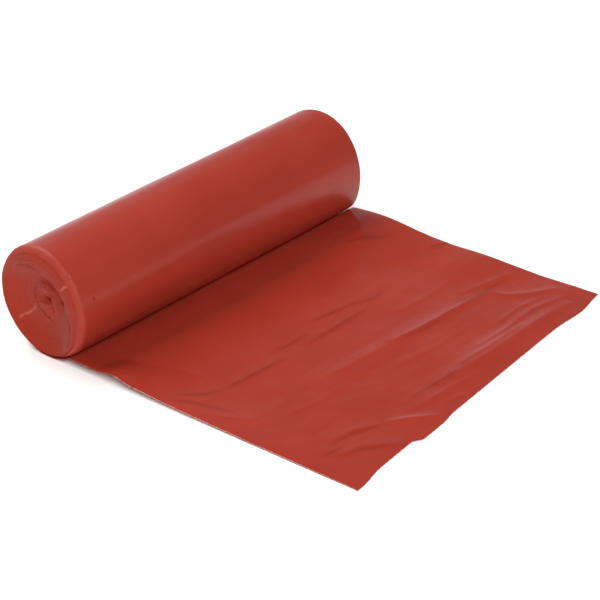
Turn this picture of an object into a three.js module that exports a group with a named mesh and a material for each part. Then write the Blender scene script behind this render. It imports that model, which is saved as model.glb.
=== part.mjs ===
// A coreless roll of red polyethylene waste bags lying on its side, with its leading bag pulled off.
// Millimetres. +X runs along the roll, -Y toward the free end of the leading bag, and +Z up.
// The origin is on the underside of the film, straight below the middle of the roll's axis.

import * as THREE from 'three';

// Driving dimensions
const webWidth = 305;            // the flattened bag across the web, which is also the roll's length
const rollRadius = 42.9;         // to the outside of the outermost turn
const spindleRadius = 6;         // hollow that the winding spindle leaves
const filmThickness = 0.6;       // four plies of one bag lying loosely on each other
const clearance = 0.3;           // between the leading bag and the turns under it
const tailNear = 296;            // from under the axis to the free edge, at the -X side of the web
const tailFar = 267;             // the same at the +X side, because the bag was torn off askew
const cornerSetback = 3.5;       // the torn edge beside the -X corner stands back by this
const cornerWidth = 72;          // length of that stretch of the edge
const contactHalfWidth = 3;      // the roll's weight flattens it this far each side of its lowest line
const shoulderRadius = 4;        // the edges of the outer turns are drawn over the roll's ends
const lipInset = 15;             // from the outermost turn in to the lip round each hollowed end
const lipHeight = 0.9;           // the lip stands this far out from the shoulder's edge
const recessDepth = 4.5;         // deepest turns inside the lip, from the lip
const recessWidth = 4;           // over which the end falls from the lip to the deepest turn
const coreWall = 8;              // first turns round the spindle hollow, wound straighter than the rest
const coreSetback = 1.2;         // their ends, from the lip
const turnGroup = 3;             // turns that stand out together as one ring on the ends

// Fineness of the meshes
const roundSteps = 48;
const shoulderSteps = 2;
const columnsBetweenShoulders = 15;
const rowsUnderRoll = 8;
const rowsOnFloor = 24;

const filmRed = { color: '#a43c2d', roughness: 0.32, metalness: 0 };
const windingRed = { color: '#9a392b', roughness: 0.4, metalness: 0 };

// Places where the pulled-off film doesn't lie flat. Each is a smooth swell round a centre line,
// placed from the middle of the web (x) and from under the roll's axis (y).
const swells = [
  { name: 'hump before the roll', x: 0, y: -22, alongX: 420, alongY: 143, height: 4.9 },
  { name: 'near edge by the roll', x: -webWidth / 2, y: -69, alongX: 34, alongY: 19, height: 2.6 },
  { name: 'near edge', x: -webWidth / 2, y: -59, alongX: 50, alongY: 232, height: 2 },
  { name: 'far edge by the roll', x: webWidth / 2, y: -61, alongX: 90, alongY: 80, height: 5.2 },
  { name: 'far edge, outer wave', x: webWidth / 2, y: -157, alongX: 60, alongY: 62, height: 2.3 },
  { name: 'cross ridge', x: webWidth * 0.11, y: -193, alongX: 95, alongY: 16, height: 1.2 },
  { name: 'free edge', x: webWidth * 0.15, y: -258, alongX: 95, alongY: 20, height: 1.6 },
];

function smoothStep(from, to, value) {
  const t = Math.min(Math.max((value - from) / (to - from), 0), 1);
  return t * t * (3 - 2 * t);
}

// Height of the pulled-off film's underside above the floor. Beside the roll it swells up only as far as
// the turn above it leaves room.
function lift(x, y) {
  let height = 0;
  for (const swell of swells) {
    const away = Math.hypot((x - swell.x) / swell.alongX, (y - swell.y) / swell.alongY);
    height += swell.height * smoothStep(1, 0, away);
  }
  if (y < -rollRadius) return height;
  const room = rollRadius - Math.sqrt(rollRadius ** 2 - y ** 2) - filmThickness - clearance;
  return Math.min(height, Math.max(room, 0));
}

// Distance from under the roll's axis to the torn edge.
function tailLength(x) {
  const fromNear = x + webWidth / 2;
  const straight = tailNear + (tailFar - tailNear) * (fromNear / webWidth);
  const step = smoothStep(cornerWidth + shoulderRadius, cornerWidth - shoulderRadius, fromNear);
  return straight - cornerSetback * step;
}

// The wound bags: one turned solid, whose closed section runs along the outside, in over the end at +X
// in rings, back along the spindle hollow and out over the end at -X.
function buildBagRoll() {
  const outer = rollRadius - filmThickness - clearance;
  const shoulder = shoulderRadius - filmThickness - clearance;
  const lipRadius = rollRadius - lipInset;
  const coreRadius = spindleRadius + coreWall;
  const endPlane = webWidth / 2;

  const setbackAt = (radius) => {
    if (radius > lipRadius) {
      return (lipHeight * (radius - lipRadius)) / (outer - lipRadius);
    }
    const fall = smoothStep(lipRadius, lipRadius - recessWidth, radius);
    const rise = smoothStep(lipRadius - recessWidth, coreRadius, radius);
    return recessDepth * fall - (recessDepth - coreSetback) * rise;
  };

  const end = [];
  const edgeSetback = filmThickness + clearance;
  for (let i = 0; i <= shoulderSteps; i++) {
    const turn = (Math.PI / 2) * (i / shoulderSteps);
    end.push([
      outer - shoulder * (1 - Math.cos(turn)),
      edgeSetback + shoulder * (1 - Math.sin(turn)),
    ]);
  }
  const facedWidth = outer - shoulder - spindleRadius;
  const rings = Math.round(facedWidth / turnGroup);
  for (let i = 0; i < rings; i++) {
    const from = outer - shoulder - (facedWidth * i) / rings;
    const to = outer - shoulder - (facedWidth * (i + 1)) / rings;
    const setback = Math.max(setbackAt((from + to) / 2), i === 0 ? edgeSetback : 0);
    if (i > 0) end.push([from, setback]);
    end.push([to, setback]);
  }

  const profile = [];
  for (const [radius, setback] of [...end].reverse()) {
    profile.push(new THREE.Vector2(radius, setback - endPlane));
  }
  for (const [radius, setback] of end) {
    profile.push(new THREE.Vector2(radius, endPlane - setback));
  }
  profile.push(profile[0].clone());

  const geometry = new THREE.LatheGeometry(profile, roundSteps);
  const mesh = new THREE.Mesh(geometry, new THREE.MeshStandardMaterial(windingRed));
  mesh.name = 'bag_roll';
  mesh.rotation.z = -Math.PI / 2;
  mesh.position.z = rollRadius;
  return mesh;
}

// Places across the web of the film's grid: closer together where the film turns over the shoulders,
// and at the step in the torn edge.
function webColumns() {
  const half = webWidth / 2;
  const inner = half - shoulderRadius;
  const columns = [cornerWidth - shoulderRadius - half, cornerWidth + shoulderRadius - half];
  for (let i = 0; i < shoulderSteps; i++) {
    const turn = (Math.PI / 2) * (1 - i / shoulderSteps);
    const place = half - shoulderRadius * (1 - Math.sin(turn));
    columns.push(-place, place);
  }
  for (let i = 0; i <= columnsBetweenShoulders; i++) {
    columns.push(-inner + (2 * inner * i) / columnsBetweenShoulders);
  }
  return columns.sort((a, b) => a - b);
}

// A point of the pulled-off film. Row 0 is the torn edge, and the last row is where the roll rests on
// the film. Rows are closer together beside the roll, up to where the film has left it.
function tailPoint(x, row, depth) {
  const reach = rollRadius / 2;
  const y = row < rowsOnFloor
    ? -tailLength(x) + ((tailLength(x) - reach) * row) / rowsOnFloor
    : -reach + ((reach + contactHalfWidth) * (row - rowsOnFloor)) / rowsUnderRoll;
  return new THREE.Vector3(x, y, lift(x, y) + depth);
}

// A point of the turn that the leading bag still makes round the roll. turn is the angle round the axis
// from straight below it, and depth is measured in from the film's outside.
function wrapPoint(x, turn, depth) {
  const fromEdge = webWidth / 2 - Math.abs(x);
  const drawnIn = smoothStep(0, Math.PI / 8, turn);
  const over = Math.asin(Math.min(Math.max(1 - fromEdge / shoulderRadius, 0), 1));
  const lean = over * drawnIn;
  const radius = rollRadius - drawnIn * shoulderRadius * (1 - Math.cos(over)) - depth * Math.cos(lean);
  return new THREE.Vector3(
    x - Math.sign(x) * depth * Math.sin(lean),
    radius * Math.sin(turn),
    rollRadius - radius * Math.cos(turn),
  );
}

// The leading bag: a flat grid of film, its rows laid along the floor and then up round the roll.
function buildLeadingBag() {
  const firstTurn = Math.asin(contactHalfWidth / rollRadius);
  // The turn stops where its outside is one clearance above the film that runs out under it.
  const mouth = Math.acos(1 - (filmThickness + clearance) / rollRadius);
  const lastTurn = 2 * Math.PI - mouth;
  const wrapRows = Math.round(((lastTurn - firstTurn) / (2 * Math.PI)) * roundSteps);
  const columns = webColumns();
  const tailRows = rowsOnFloor + rowsUnderRoll;
  const rows = tailRows + wrapRows;

  const geometry = new THREE.BoxGeometry(1, 1, 1, columns.length - 1, rows, 1);
  const position = geometry.attributes.position;
  for (let i = 0; i < position.count; i++) {
    const column = Math.round((position.getX(i) + 0.5) * (columns.length - 1));
    const row = Math.round((position.getY(i) + 0.5) * rows);
    const depth = filmThickness * (position.getZ(i) + 0.5);
    const x = columns[column];
    const point = row <= tailRows
      ? tailPoint(x, row, depth)
      : wrapPoint(x, firstTurn + ((lastTurn - firstTurn) * (row - tailRows)) / wrapRows, depth);
    position.setXYZ(i, point.x, point.y, point.z);
  }
  geometry.computeVertexNormals();
  const mesh = new THREE.Mesh(geometry, new THREE.MeshStandardMaterial(filmRed));
  mesh.name = 'leading_bag';
  return mesh;
}

const bagOnRoll = new THREE.Group();
bagOnRoll.add(buildBagRoll(), buildLeadingBag());

export default bagOnRoll;
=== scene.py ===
"""A coreless roll of red polyethylene waste bags on its side, its leading bag pulled off over the floor."""
import math
import bmesh
import bpy
import numpy as np
from mathutils import Matrix, Vector, noise


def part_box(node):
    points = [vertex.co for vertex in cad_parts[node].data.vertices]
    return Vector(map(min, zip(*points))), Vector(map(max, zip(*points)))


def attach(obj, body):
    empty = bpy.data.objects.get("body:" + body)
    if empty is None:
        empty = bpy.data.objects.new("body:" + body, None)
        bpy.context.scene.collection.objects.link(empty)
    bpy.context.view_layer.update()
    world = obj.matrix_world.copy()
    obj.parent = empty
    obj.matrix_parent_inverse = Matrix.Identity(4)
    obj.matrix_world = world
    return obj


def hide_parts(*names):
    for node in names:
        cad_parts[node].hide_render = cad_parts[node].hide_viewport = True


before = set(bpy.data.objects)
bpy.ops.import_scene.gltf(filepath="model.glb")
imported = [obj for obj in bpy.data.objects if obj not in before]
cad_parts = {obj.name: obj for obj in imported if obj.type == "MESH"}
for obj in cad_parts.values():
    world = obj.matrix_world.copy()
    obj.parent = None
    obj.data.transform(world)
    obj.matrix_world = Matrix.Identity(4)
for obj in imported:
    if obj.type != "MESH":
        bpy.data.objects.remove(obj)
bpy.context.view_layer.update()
mm = 0.001

# Camera. A long lens looks down on the roll's left end and its front, from where the photograph was taken,
# with the camera tilted a little clockwise.
view_azimuth = math.radians(-45.95)
view_elevation = math.radians(27.72)
view_tilt = math.radians(-4.1)
view_point = Vector((-0.9354, -1.0150, 0.6972))

backward = Vector((
    math.sin(view_azimuth) * math.cos(view_elevation),
    -math.cos(view_azimuth) * math.cos(view_elevation),
    math.sin(view_elevation),
))
level = Vector((math.cos(view_azimuth), math.sin(view_azimuth), 0))
upright = backward.cross(level)
sideways = level * math.cos(view_tilt) + upright * math.sin(view_tilt)
upward = upright * math.cos(view_tilt) - level * math.sin(view_tilt)
camera = bpy.data.objects.new("camera", bpy.data.cameras.new("camera"))
camera.data.sensor_width = 36
camera.data.lens = 120.3
camera.data.clip_end = 20
camera.matrix_world = (
    Matrix.Translation(view_point) @ Matrix((sideways, upward, backward)).transposed().to_4x4()
)
bpy.context.scene.collection.objects.link(camera)
bpy.context.scene.camera = camera
bpy.context.scene.view_settings.view_transform = "Standard"


class Wire:
    """A socket of a material's nodes. Sums and products of wires add the Math nodes that work them out."""

    def __init__(self, tree, socket=None):
        self.tree = tree
        self.socket = socket

    def node(self, kind, settings=None, sockets=None, out=0):
        """Adds a node with its settings and its sockets' values or wires. Returns the wire out of it."""
        made = self.tree.nodes.new(kind)
        for name, value in (settings or {}).items():
            if name == "stops":
                ramp = made.color_ramp
                while len(ramp.elements) < len(value):
                    ramp.elements.new(1)
                for stop, (place, colour) in zip(ramp.elements, value):
                    stop.position = place
                    stop.color = colour
            else:
                setattr(made, name, value)
        for name, value in (sockets or {}).items():
            if isinstance(value, Wire):
                self.tree.links.new(value.socket, made.inputs[name])
            else:
                made.inputs[name].default_value = value
        return Wire(self.tree, made.outputs[out] if len(made.outputs) > out else None)

    def math(self, operation, *values):
        return self.node("ShaderNodeMath", {"operation": operation}, dict(enumerate(values)))

    def __add__(self, other):
        return self.math("ADD", self, other)

    def __radd__(self, other):
        return self.math("ADD", other, self)

    def __sub__(self, other):
        return self.math("SUBTRACT", self, other)

    def __rsub__(self, other):
        return self.math("SUBTRACT", other, self)

    def __mul__(self, other):
        return self.math("MULTIPLY", self, other)

    def __rmul__(self, other):
        return self.math("MULTIPLY", other, self)

    def limited(self):
        """The value held between 0 and 1."""
        return self.node("ShaderNodeClamp", sockets={"Value": self})


def new_material(name):
    """An empty material, and a wire to start its nodes from."""
    material = bpy.data.materials.new(name)
    material.use_nodes = True
    material.node_tree.nodes.clear()
    return material, Wire(material.node_tree)


def show_surface(start, shader):
    start.node("ShaderNodeOutputMaterial", sockets={"Surface": shader})


def mixed(start, factor, first, second):
    """Two colours mixed by a factor."""
    return start.node("ShaderNodeMix", {"data_type": "RGBA"}, {0: factor, 6: first, 7: second}, out=2)


# Floor and light. A matt pale table with a pale backdrop, a broad soft light above and behind the roll,
# and a large soft light from the front left.
floor_side = 6.0
floor_mesh = bmesh.new()
bmesh.ops.create_grid(floor_mesh, x_segments=1, y_segments=1, size=floor_side / 2)
floor = bpy.data.objects.new("floor", bpy.data.meshes.new("floor"))
floor_mesh.to_mesh(floor.data)
floor_mesh.free()
bpy.context.scene.collection.objects.link(floor)
floor_paint, start = new_material("pale_floor")
show_surface(start, start.node("ShaderNodeBsdfDiffuse", sockets={"Color": (0.97, 0.97, 0.95, 1)}))
floor.data.materials.append(floor_paint)

world = bpy.data.worlds.new("studio")
world.use_nodes = True
world.node_tree.nodes.clear()
start = Wire(world.node_tree)
direction = start.node("ShaderNodeTexCoord", out=0)
to_right = start.node("ShaderNodeSeparateXYZ", sockets={0: direction}, out=0)
to_back = start.node("ShaderNodeSeparateXYZ", sockets={0: direction}, out=1)
rise = start.node("ShaderNodeSeparateXYZ", sockets={0: direction}, out=2)
# The pale backdrop stands behind the object and to its right. The rest of the room is a dull grey.
backdrop = start.node("ShaderNodeValToRGB", {"stops": [
    (0.0, (0.60, 0.69, 0.74, 1)),
    (0.22, (0.54, 0.62, 0.66, 1)),
    (0.42, (0.30, 0.32, 0.33, 1)),
    (0.56, (0.13, 0.13, 0.13, 1)),
]}, {"Fac": rise})
behind = to_right * 0.5 + to_back * 0.86
room = mixed(start, (behind * 1.6 - 0.2).limited(), (0.21, 0.22, 0.22, 1), backdrop)
light_of_room = start.node("ShaderNodeBackground", sockets={"Color": room})
start.node("ShaderNodeOutputWorld", sockets={"Surface": light_of_room})
bpy.context.scene.world = world


def add_soft_light(name, place, aim, width, depth, power):
    lamp = bpy.data.lights.new(name, "AREA")
    lamp.shape = "RECTANGLE"
    lamp.size = width
    lamp.size_y = depth
    lamp.energy = power
    lamp_object = bpy.data.objects.new(name, lamp)
    lamp_object.location = place
    lamp_object.rotation_mode = "QUATERNION"
    lamp_object.rotation_quaternion = (Vector(aim) - Vector(place)).to_track_quat("-Z", "Y")
    bpy.context.scene.collection.objects.link(lamp_object)


add_soft_light("rear_softbox", (0.05, 1.25, 1.8), (0, -0.1, 0), 1.4, 1.4, 44)
add_soft_light("front_softbox", (-1.5, -2.15, 1.85), (0, -0.1, 0), 2.0, 1.5, 79)

# Wound bags. About fifty flattened bags of thin polyethylene wound hard on each other with no core. Only
# their folded edges show, as rings on the two ends. Handling has pushed the middle turns in behind a lip,
# and the hollow that the winding spindle left is crushed.
film_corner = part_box("leading_bag")[1]
half_web = film_corner.x
roll_radius = film_corner.z / 2
axis_height = roll_radius
under_wrap = 0.45 * mm
wound_radius = roll_radius - under_wrap
shoulder_depth = 5 * mm
crest_radius = 37.7 * mm
crest_shift = 10.3 * mm
crest_angle = math.radians(-55)
crest_blend = 3 * mm
rim_radius = wound_radius - 1.6 * mm
dish_depth = 8.6 * mm
dish_steepness = 2.1
dish_floor = 15 * mm
core_foot = 2 * mm
core_radius = 9 * mm
core_setback = 6.3 * mm
hollow_radius = 5.6 * mm
hollow_long_way = math.radians(25)
hollow_pushed_side = math.radians(235)
ring_pitch = 1.05 * mm
ring_relief = 0.12 * mm
ring_groove = 0.09 * mm
outermost_turns = 0.3 * mm
end_waviness = 0.3 * mm
crumple_depth = 0.8 * mm
crumple_from = 15 * mm
crumple_full = 7 * mm
least_setback = 0.02 * mm
barrel_slack = 0.8 * mm
fine_radius = 30 * mm
outer_samples = 44
inner_samples = 104
round_steps = 192


def smooth_step(start_value, end_value, value):
    t = np.clip((value - start_value) / (end_value - start_value), 0, 1)
    return t * t * (3 - 2 * t)


def crest_at(angle, end=-1):
    """Radius at which the end stands out farthest: a circle off the axis, which runs into the rim at one
    side. Angles run from +Y toward +Z. The circle lies the other way round at the +X end."""
    from_shift = angle - crest_angle * (1 if end < 0 else -1)
    reach = crest_shift * np.cos(from_shift) + np.sqrt(
        crest_radius**2 - (crest_shift * np.sin(from_shift)) ** 2
    )
    return 0.5 * (reach + rim_radius - np.sqrt((reach - rim_radius) ** 2 + crest_blend**2))


def end_setback(radius, angle, end):
    """How far the edge of the turn at this radius and angle stands in from the plane of the web's edge."""
    crest = crest_at(angle, end)
    if radius > crest:
        across = (radius - crest) / (wound_radius - crest)
        return shoulder_depth * (1 - math.sqrt(max(1 - across**2, 0)))
    inward = min((crest - radius) / (crest - dish_floor), 1)
    fall = 1 - (1 - inward) ** dish_steepness
    rise = float(smooth_step(dish_floor + core_foot, 0.9 * core_radius, radius))
    return dish_depth * fall - (dish_depth - core_setback) * rise


def turn_relief(radius, angle, end):
    """Small steps between neighbouring turns. They run round in one spiral, so a turn's height carries on
    where the next one starts."""
    turns = radius / ring_pitch - angle / math.tau
    whole = math.floor(turns)
    along = whole + angle / math.tau
    across = turns - whole
    step = noise.noise(Vector((along * 1.9, 17.0 * end, 3.1)))
    ripple = noise.noise(Vector((along * 9.0, 5.0 * end, 8.7)))
    groove = abs(2 * across - 1) ** 6
    return ring_relief * (step + 0.4 * ripple) + ring_groove * groove


def hollow_at(angle):
    """Radius of the crushed hollow: an oval with one side pushed in."""
    oval = 1 + 0.34 * math.cos(2 * (angle - hollow_long_way))
    from_pushed_side = math.remainder(angle - hollow_pushed_side, math.tau)
    pushed_in = 0.5 * math.exp(-((from_pushed_side / 0.6) ** 2))
    return hollow_radius * (oval - pushed_in)


# Places where the turns have parted or been pressed in at the near end: Y and height over the axis, half
# lengths along and across, turn of the long side from +Y, and depth. Millimetres and degrees.
end_pockets = [
    (-5.9, -6.6, 2.4, 0.9, 80, 2.4),
    (-15.5, 1.5, 2.4, 0.7, 75, 1.4),
    (5.0, -14.3, 6.4, 0.6, 31, 1.0),
    (-25.0, -22.0, 3.0, 1.6, 60, 0.6),
]

bags = bmesh.new()
radii = [
    wound_radius - (wound_radius - fine_radius) * (1 - math.cos(math.pi / 2 * i / outer_samples))
    for i in range(outer_samples)
]
radii += [
    fine_radius + (hollow_radius - fine_radius) * i / inner_samples
    for i in range(inner_samples + 1)
]
# The hollow closes up behind each end: distance in from the web's edge, and radius.
pinches = [
    (7.6 * mm, 4.3 * mm),
    (8.4 * mm, 3.0 * mm),
    (9.2 * mm, 1.9 * mm),
    (11 * mm, 1.4 * mm),
    (16 * mm, 1.3 * mm),
]
loop = [(half_web, radius) for radius in radii]
loop += [(half_web - depth, radius) for depth, radius in pinches]
loop += [(depth - half_web, radius) for depth, radius in reversed(pinches)]
loop += [(-half_web, radius) for radius in reversed(radii)]
half_barrel = half_web - shoulder_depth
loop += [(place * half_barrel, wound_radius - barrel_slack) for place in (-0.98, -0.5, 0, 0.5, 0.98)]
corners = [bags.verts.new((x, 0, axis_height + radius)) for x, radius in loop]
edges = [bags.edges.new((a, b)) for a, b in zip(corners, corners[1:] + corners[:1])]
bmesh.ops.spin(
    bags, geom=corners + edges, cent=(0, 0, axis_height), axis=(1, 0, 0), dvec=(0, 0, 0),
    angle=math.tau, steps=round_steps, use_merge=True, use_duplicate=False,
)
for vertex in bags.verts:
    x, y, z = vertex.co
    radius = math.hypot(y, z - axis_height)
    angle = math.atan2(z - axis_height, y) % math.tau
    if abs(abs(x) - half_web) < 1e-6:
        end = math.copysign(1, x)
        setback = end_setback(radius, angle, end)
        if radius < wound_radius - outermost_turns:
            within_rim = float(smooth_step(wound_radius, rim_radius, radius))
            crumpled = float(smooth_step(crumple_from, crumple_full, radius))
            crumple = 1 - 2 * abs(noise.noise(Vector((y * 210, z * 210, 2.0 * end))))
            setback += turn_relief(radius, angle, end) * within_rim
            setback += end_waviness * noise.noise(Vector((y * 55, z * 55, 7.0 * end)))
            setback += crumple_depth * (0.7 - crumple) * crumpled
        if end < 0:
            for pocket_y, pocket_z, half_long, half_short, lean, depth in end_pockets:
                away = Matrix.Rotation(-math.radians(lean), 2) @ Vector((
                    y / mm - pocket_y, (z - axis_height) / mm - pocket_z,
                ))
                setback += depth * mm * math.exp(-((away.x / half_long) ** 2) - (away.y / half_short) ** 2)
        vertex.co.x = end * (half_web - max(setback, least_setback))
    if radius < core_radius:
        share = min((core_radius - radius) / (core_radius - hollow_radius), 1)
        crushed = 1 + (hollow_at(angle) / hollow_radius - 1) * share
        vertex.co.y = y * crushed
        vertex.co.z = axis_height + (z - axis_height) * crushed
bmesh.ops.recalc_face_normals(bags, faces=bags.faces)
wound_bags = bpy.data.objects.new("wound_bags", bpy.data.meshes.new("wound_bags"))
bags.to_mesh(wound_bags.data)
bags.free()
wound_bags.data.shade_smooth()
bpy.context.scene.collection.objects.link(wound_bags)

wound_film, start = new_material("wound_film_edges")
place = start.node("ShaderNodeTexCoord", out=3)
place_x = start.node("ShaderNodeSeparateXYZ", sockets={0: place}, out=0)
place_y = start.node("ShaderNodeSeparateXYZ", sockets={0: place}, out=1)
place_z = start.node("ShaderNodeSeparateXYZ", sockets={0: place}, out=2) - axis_height
ring_distance = start.math("SQRT", place_y * place_y + place_z * place_z)
mottle = start.node("ShaderNodeTexNoise", sockets={"Vector": place, "Scale": 60.0, "Detail": 3.0})
rings = start.node(
    "ShaderNodeTexNoise", {"noise_dimensions": "1D"},
    {"W": ring_distance * 900, "Scale": 1.0, "Detail": 2.0},
)
shade = start.math("MULTIPLY_ADD", rings, 0.6, mottle * 0.5)
edge_red = start.node(
    "ShaderNodeValToRGB",
    {"stops": [(0.3, (0.295, 0.028, 0.015, 1)), (0.75, (0.335, 0.032, 0.017, 1))]},
    {"Fac": shade},
)
# A painted highlight: a pale streak is painted along one line across the turns, where their grooved edges
# would catch the light.
sway = start.node("ShaderNodeTexNoise", sockets={"Vector": place, "Scale": 95.0, "Detail": 2.0})
across_line_y, across_line_z = 0.588, 0.809
off_line = start.math(
    "ABSOLUTE", place_y * across_line_y + place_z * across_line_z + (sway - 0.5) * (7 * mm),
)
broken = start.node("ShaderNodeTexNoise", sockets={"Vector": place, "Scale": 150.0, "Detail": 2.0})
along_line = ((ring_distance - 13 * mm) * 160).limited() * (broken * 5.0 - 2.1).limited()
# Painted highlight: the red of the turns' edges is lightened along the streak.
painted_streak_highlight = (1 - off_line * 560).limited() * along_line * 0.34
edge_red = mixed(start, painted_streak_highlight, edge_red, (0.75, 0.25, 0.20, 1))
outward = start.node("ShaderNodeCombineXYZ", sockets={"X": 0.0, "Y": place_y, "Z": place_z})
outward = start.node("ShaderNodeVectorMath", {"operation": "NORMALIZE"}, {0: outward})
edge_noise = start.node(
    "ShaderNodeTexNoise", {"noise_dimensions": "1D"},
    {"W": ring_distance * 2100, "Scale": 1.0, "Detail": 1.0},
)
on_ends = start.math("GREATER_THAN", start.math("ABSOLUTE", place_x), half_web - shoulder_depth)
edge_lean = (edge_noise - 0.5) * 1.3 * on_ends
leaned = start.node("ShaderNodeVectorMath", {"operation": "SCALE"}, {0: outward, "Scale": edge_lean})
facing = start.node("ShaderNodeNewGeometry", out=1)
grooved = start.node("ShaderNodeVectorMath", {"operation": "ADD"}, {0: facing, 1: leaned})
grooved = start.node("ShaderNodeVectorMath", {"operation": "NORMALIZE"}, {0: grooved})
show_surface(start, start.node("ShaderNodeBsdfPrincipled", sockets={
    "Base Color": edge_red, "Roughness": 0.28, "Normal": grooved, "IOR": 1.5, "Specular IOR Level": 0.08,
}))
wound_bags.data.materials.append(wound_film)
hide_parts("bag_roll")
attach(wound_bags, "root")

# Leading bag. A flattened tube of glossy red film, four plies thick, pulled off the roll by hand. One turn
# still clings to the roll, and the rest runs out from under it in a low hump and lies on the floor to its
# torn edge.
ply_stack = 0.4 * mm
floor_gap = 0.05 * mm
turn_gap = 0.15 * mm
edge_tuck = 0.25 * mm
pressed_flat = 14 * mm
drawn_in_by = 24
tail_near = 296 * mm
tail_far = 267 * mm
wrap_end = math.radians(345)
columns = 190
tail_rows = 182
wrap_rows = 72
tail_share = tail_rows / (tail_rows + wrap_rows)

# Broad swells of the pulled-off film: x and y of the middle, half lengths along X and Y, and height.
swells = [
    (0, -22, 420, 143, 4.9),
    (-152, -69, 34, 19, 2.6),
    (-152, -59, 50, 232, 2.0),
    (152, -61, 90, 80, 5.2),
    (152, -157, 60, 62, 2.3),
    (12, -193, 120, 16, 0.8),
    (25, -258, 95, 20, 1.0),
]
# Folds pressed into the film: points from end to end, height (a groove is negative), and half width on the
# side of the roll and on the side of the torn edge, where most folds fall off steeply.
folds = [
    ([(-112, -139), (-92, -142), (-60, -144), (-52, -145)], 0.55, 6.0, 1.3),
    ([(-34, -143), (-3, -144), (36, -143)], 0.5, 6.0, 1.3),
    ([(-6, -124), (18, -128), (42, -131)], 0.45, 6.0, 1.3),
    ([(111, -72), (120, -78), (129, -85)], 0.45, 5.0, 1.3),
    ([(137, -120), (154, -127)], 0.5, 5.0, 1.3),
    ([(5, -190), (34, -195), (73, -197), (110, -200)], 1.35, 3.4, 1.7),
    ([(-69, -183), (-38, -188), (2, -190)], 0.7, 6.0, 3.0),
    ([(110, -200), (111, -213), (123, -226), (146, -241)], 0.9, 4.0, 3.0),
    ([(-137, -28), (-132, -49), (-124, -70), (-114, -88), (-108, -116), (-111, -137)], -0.7, 6.0, 6.0),
    ([(92, -184), (127, -194), (143, -197)], 0.8, 5.0, 2.5),
    ([(-123, -244), (-104, -246), (-83, -256)], 0.9, 7.0, 1.5),
    ([(-132, -258), (-114, -264), (-91, -284)], 0.9, 7.0, 1.5),
    ([(-80, -257), (-64, -270), (-50, -283)], 1.5, 3.2, 2.4),
    ([(-60, -261), (-21, -265), (18, -269)], 0.9, 3.0, 2.0),
    ([(-36, -274), (-17, -277)], 0.5, 2.5, 1.5),
    ([(-22, -253), (9, -257), (35, -259), (70, -258), (98, -257), (131, -259)], 1.8, 8.0, 4.0),
    ([(28, -243), (62, -246), (104, -243), (136, -250)], 0.9, 3.4, 1.5),
    ([(6, -249), (40, -252), (84, -251)], 0.75, 2.8, 1.5),
    ([(66, -236), (100, -233), (128, -238)], 0.6, 3.2, 1.5),
    ([(-118, -196), (-88, -203), (-52, -204)], 0.35, 5.0, 1.4),
    ([(40, -164), (78, -168), (112, -165)], 0.35, 5.0, 1.4),
    ([(-20, -214), (24, -221), (60, -220)], 0.3, 5.0, 1.5),
    ([(-146, -150), (-138, -170), (-128, -186)], 0.5, 3.0, 2.0),
]
# Sharp creases, along which shade is painted into the film's colour as thin darker lines.
creases = [
    [(-112, -139), (-92, -142), (-60, -144), (-52, -145)],
    [(-34, -143), (-3, -144), (36, -143)],
    [(-6, -124), (18, -128), (42, -131)],
    [(34, -132), (52, -137), (66, -136)],
    [(-58, -131), (-40, -134), (-18, -134)],
    [(111, -72), (120, -78), (129, -85)],
    [(102, -66), (112, -69), (124, -77)],
    [(137, -120), (154, -127)],
    [(8, -193), (34, -198), (62, -199)],
    [(78, -193), (100, -197), (132, -199)],
    [(-123, -246), (-104, -249), (-80, -259)],
    [(-132, -260), (-114, -267), (-91, -287)],
    [(-137, -252), (-120, -255)],
    [(-44, -250), (-10, -254), (24, -254)],
    [(-146, -120), (-137, -142), (-130, -168)],
    [(-140, -118), (-126, -134), (-110, -141)],
]


def fold_height(x, y, points, height, roll_side, edge_side):
    """Height that one fold adds, which fades toward both its ends."""
    spans = [math.dist(a, b) for a, b in zip(points, points[1:])]
    nearest = np.full(x.shape, np.inf)
    along = np.zeros(x.shape)
    half_width = np.zeros(x.shape)
    passed = 0.0
    for (ax, ay), (bx, by), span in zip(points, points[1:], spans):
        share = np.clip(((x - ax) * (bx - ax) + (y - ay) * (by - ay)) / span**2, 0, 1)
        away = np.hypot(x - ax - share * (bx - ax), y - ay - share * (by - ay))
        closer = away < nearest
        nearest = np.where(closer, away, nearest)
        along = np.where(closer, passed + share * span, along)
        toward_roll = (bx - ax) * (y - ay) - (by - ay) * (x - ax) > 0
        half_width = np.where(closer, np.where(toward_roll, roll_side, edge_side), half_width)
        passed += span
    fade = np.sin(np.pi * np.clip(along / passed, 0, 1)) ** 0.6
    return height * fade * np.exp(-np.sqrt((nearest / half_width) ** 2 + 0.05))


def film_noise(x, y, length_x, length_y, seed):
    return np.array([
        noise.noise(Vector((a / length_x, b / length_y, seed))) for a, b in zip(x, y)
    ])


def tail_height(x, y):
    """Height of the pulled-off film over the floor. Millimetres."""
    height = 0.25 + 0.25 * film_noise(x, y, 38, 26, 2.0) + 0.1 * film_noise(x, y, 14, 9, 7.0)
    for middle_x, middle_y, half_x, half_y, rise in swells:
        away = np.hypot((x - middle_x) / half_x, (y - middle_y) / half_y)
        height = height + rise * smooth_step(1, 0, away)
    for points, rise, roll_side, edge_side in folds:
        height = height + fold_height(x, y, points, rise, roll_side, edge_side)
    return np.maximum(height, 0.0)


def torn_edge(x):
    """How far the torn edge lies beyond the straight line between the film's two corners. Millimetres."""
    back = -3.0 * smooth_step(-148, -122, x) * smooth_step(-80, -88, x)
    step = 1.8 * smooth_step(-88, -78, x) * smooth_step(-40, -58, x)
    bulge = 3.2 * np.exp(-(((x - 124) / 20) ** 2))
    return back + step + bulge


def bulge_at(x, turn):
    """The last turn sags a little off the roll at its lower front. Millimetres."""
    share = np.exp(-(((turn - 318) / 26) ** 2)) * smooth_step(346, 334, turn)
    return share * (1.9 + 0.8 * x / (half_web / mm))


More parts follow.
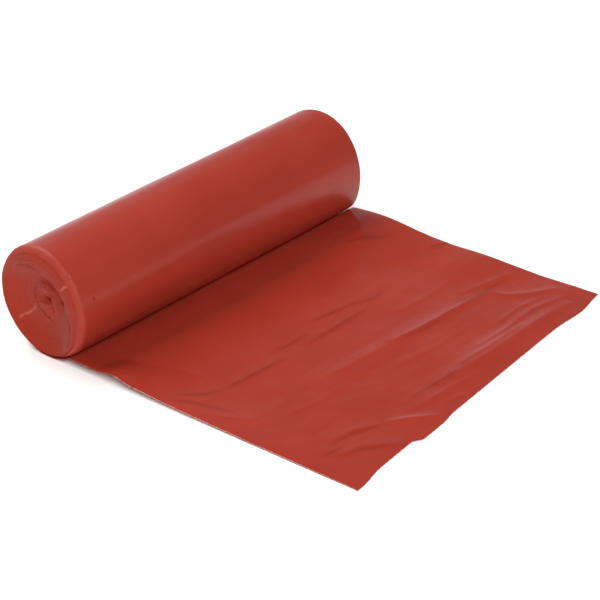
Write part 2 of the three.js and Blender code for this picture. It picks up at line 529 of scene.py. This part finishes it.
# Long dents in the top of the last turn: distance along the web, angle round the roll from below through the
# back, half length, half width in degrees, and depth. Millimetres and degrees.
wrap_dents = [
    (-70, 184, 30, 7, 0.35),
    (-12, 181, 24, 6, 0.4),
    (34, 187, 22, 7, 0.45),
    (66, 181, 15, 6, 0.4),
    (92, 192, 20, 7, 0.4),
    (118, 184, 16, 6, 0.35),
    (-120, 250, 20, 12, 0.3),
]


def wrap_relief(x, turn):
    """Flats, and long shallow dents, of the last turn. Millimetres."""
    relief = 0.32 * film_noise(x, turn, 90, 16, 4.0) + 0.16 * film_noise(x, turn, 45, 8, 9.0)
    for middle_x, middle_turn, half_x, half_turn, depth in wrap_dents:
        off_x = x - middle_x
        off_turn = turn - middle_turn + 0.06 * off_x
        relief = relief - depth * np.exp(-((off_x / half_x) ** 2) - (off_turn / half_turn) ** 2)
    return relief


film_mesh = bmesh.new()
bmesh.ops.create_grid(film_mesh, x_segments=columns, y_segments=tail_rows + wrap_rows, size=0.5)
film = bpy.data.objects.new("leading_bag_film", bpy.data.meshes.new("leading_bag_film"))
film_mesh.to_mesh(film.data)
film_mesh.free()
bpy.context.scene.collection.objects.link(film)

grid = np.zeros(len(film.data.vertices) * 3)
film.data.vertices.foreach_get("co", grid)
grid = grid.reshape(-1, 3)
web = grid[:, 0] * 2 * half_web / mm
row = grid[:, 1] + 0.5
radius_mm = roll_radius / mm
half_web_mm = half_web / mm
stack_mm = ply_stack / mm

straight = tail_near + (tail_far - tail_near) * (grid[:, 0] + 0.5)
reach = straight / mm + torn_edge(web)
tail_y = -reach * (1 - row / tail_share)
tail_z = tail_height(web, np.minimum(tail_y, 0)) * smooth_step(0, -pressed_flat / mm, tail_y)
under_turn = np.degrees(np.arcsin(np.clip(tail_y / radius_mm, -1, 0))) + 360
under_radius = radius_mm + bulge_at(web, under_turn)
ceiling = radius_mm - np.sqrt(np.maximum(under_radius**2 - tail_y**2, 0)) - stack_mm - turn_gap / mm
tail_z = np.where(tail_y > -0.8 * radius_mm, np.minimum(tail_z, np.maximum(ceiling, 0)), tail_z)
tail_points = np.stack([web, tail_y, tail_z + stack_mm / 2 + floor_gap / mm], 1)

# Round the roll, turn is the angle from straight below the axis. Degrees.
turn = np.maximum(row - tail_share, 0) / (1 - tail_share) * math.degrees(wrap_end)
drawn_in = smooth_step(0, drawn_in_by, turn)
bend_start = (half_web - shoulder_depth) / mm
past_edge = np.maximum(np.abs(web) - bend_start, 0)
web_angle = np.radians(turn - 90)
crest = np.where(web < 0, crest_at(web_angle, -1), crest_at(web_angle, 1)) / mm
shoulder_width = wound_radius / mm - crest
# The film is drawn in over the shoulders, and bends farther where a shoulder is narrow.
bend = past_edge / (shoulder_depth / mm) * np.interp(shoulder_width, [1.5, 14], [1.3, 0.72])
over_x = shoulder_depth / mm * np.sin(bend)
over_radius = shoulder_width * (1 - np.cos(bend))
tucked = edge_tuck / mm * smooth_step(1.5, 0, half_web_mm - np.abs(web))
wrap_x = np.sign(web) * (np.abs(web) - drawn_in * (past_edge - over_x))
wrap_radius = radius_mm - stack_mm / 2 - drawn_in * (over_radius + tucked) + bulge_at(web, turn)
away_from_ends = smooth_step(0, 30, turn) * smooth_step(350, 330, turn)
wrap_radius = wrap_radius + wrap_relief(web, turn) * away_from_ends
turn_rad = np.radians(turn)
wrap_points = np.stack([
    wrap_x, wrap_radius * np.sin(turn_rad), radius_mm - wrap_radius * np.cos(turn_rad),
], 1)
shaped = np.where((row <= tail_share)[:, None], tail_points, wrap_points) * mm
film.data.vertices.foreach_set("co", shaped.ravel())
film.data.update()
film.data.shade_smooth()
# Painted shade: how far the film's colour is darkened along each crease.
shade_along_creases = np.zeros(len(web))
for points in creases:
    shade_along_creases = shade_along_creases + fold_height(web, tail_y, points, 1.2, 1.4, 1.4)
pinched = film.data.attributes.new("pinched", "FLOAT", "POINT")
pinched.data.foreach_set("value", np.where(row <= tail_share, np.minimum(shade_along_creases, 1), 0))
thick = film.modifiers.new("plies", "SOLIDIFY")
thick.thickness = ply_stack
thick.offset = 0
film.modifiers.new("flat_up_to_the_edge", "WEIGHTED_NORMAL").weight = 100

bag_film, start = new_material("glossy_red_film")
place = start.node("ShaderNodeTexCoord", out=3)
cloud = start.node("ShaderNodeTexNoise", sockets={"Vector": place, "Scale": 18.0, "Detail": 4.0})
film_red = start.node(
    "ShaderNodeValToRGB",
    {"stops": [(0.3, (0.325, 0.030, 0.016, 1)), (0.7, (0.365, 0.036, 0.020, 1))]},
    {"Fac": cloud},
)
# The film's red is darkened along the creases: painted shade.
crease_shade_amount = start.node("ShaderNodeAttribute", {"attribute_name": "pinched"}, out=2)
film_red = mixed(start, crease_shade_amount * 0.5, film_red, (0.15, 0.012, 0.008, 1))
height = start.node("ShaderNodeSeparateXYZ", sockets={0: place}, out=2)
on_roll = ((height - 9 * mm) * (1 / (8 * mm))).limited()
from_middle = start.math("ABSOLUTE", start.node("ShaderNodeSeparateXYZ", sockets={0: place}, out=0))
on_shoulder = ((from_middle - (half_web - 7 * mm)) * 220).limited() * on_roll
# Two small dimples, pressed in by hand near the left end.
deep_dimple_place = (-0.1490, -0.0315, 0.0712)
flat_dimple_place = (-0.1360, -0.0420, 0.0520)
from_deep = start.node(
    "ShaderNodeVectorMath", {"operation": "DISTANCE"}, {0: place, 1: deep_dimple_place}, out=1,
)
from_flat = start.node(
    "ShaderNodeVectorMath", {"operation": "DISTANCE"}, {0: place, 1: flat_dimple_place}, out=1,
)
dimples = (1 - from_deep * 420).limited() + (1 - from_flat * 500).limited() * 0.5
stretched = start.node(
    "ShaderNodeMapping", sockets={"Vector": place, "Scale": (9.0, 95.0, 95.0), "Rotation": (0.0, 0.0, 0.06)},
)
pulled = start.node("ShaderNodeTexNoise", sockets={
    "Vector": stretched, "Scale": 1.0, "Detail": 3.0, "Distortion": 0.4,
})
crinkle = start.node("ShaderNodeTexNoise", sockets={"Vector": place, "Scale": 130.0, "Detail": 3.0})
ripples = start.node("ShaderNodeBump", sockets={"Strength": 0.3, "Distance": 0.5 * mm, "Height": pulled})
crinkled = start.node("ShaderNodeBump", sockets={
    "Strength": 0.3, "Distance": 0.3 * mm, "Height": crinkle, "Normal": ripples,
})
dimpled = start.node("ShaderNodeBump", {"invert": True}, {
    "Strength": 1.0, "Distance": 1.2 * mm, "Height": dimples, "Normal": crinkled,
})
film_roughness = on_roll * 0.17 + on_shoulder * 0.5 + 0.13
show_surface(start, start.node("ShaderNodeBsdfPrincipled", sockets={
    "Base Color": film_red, "Roughness": film_roughness, "Normal": dimpled,
    "IOR": 1.5, "Specular IOR Level": 0.34,
}))
film.data.materials.append(bag_film)
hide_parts("leading_bag")
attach(film, "root")
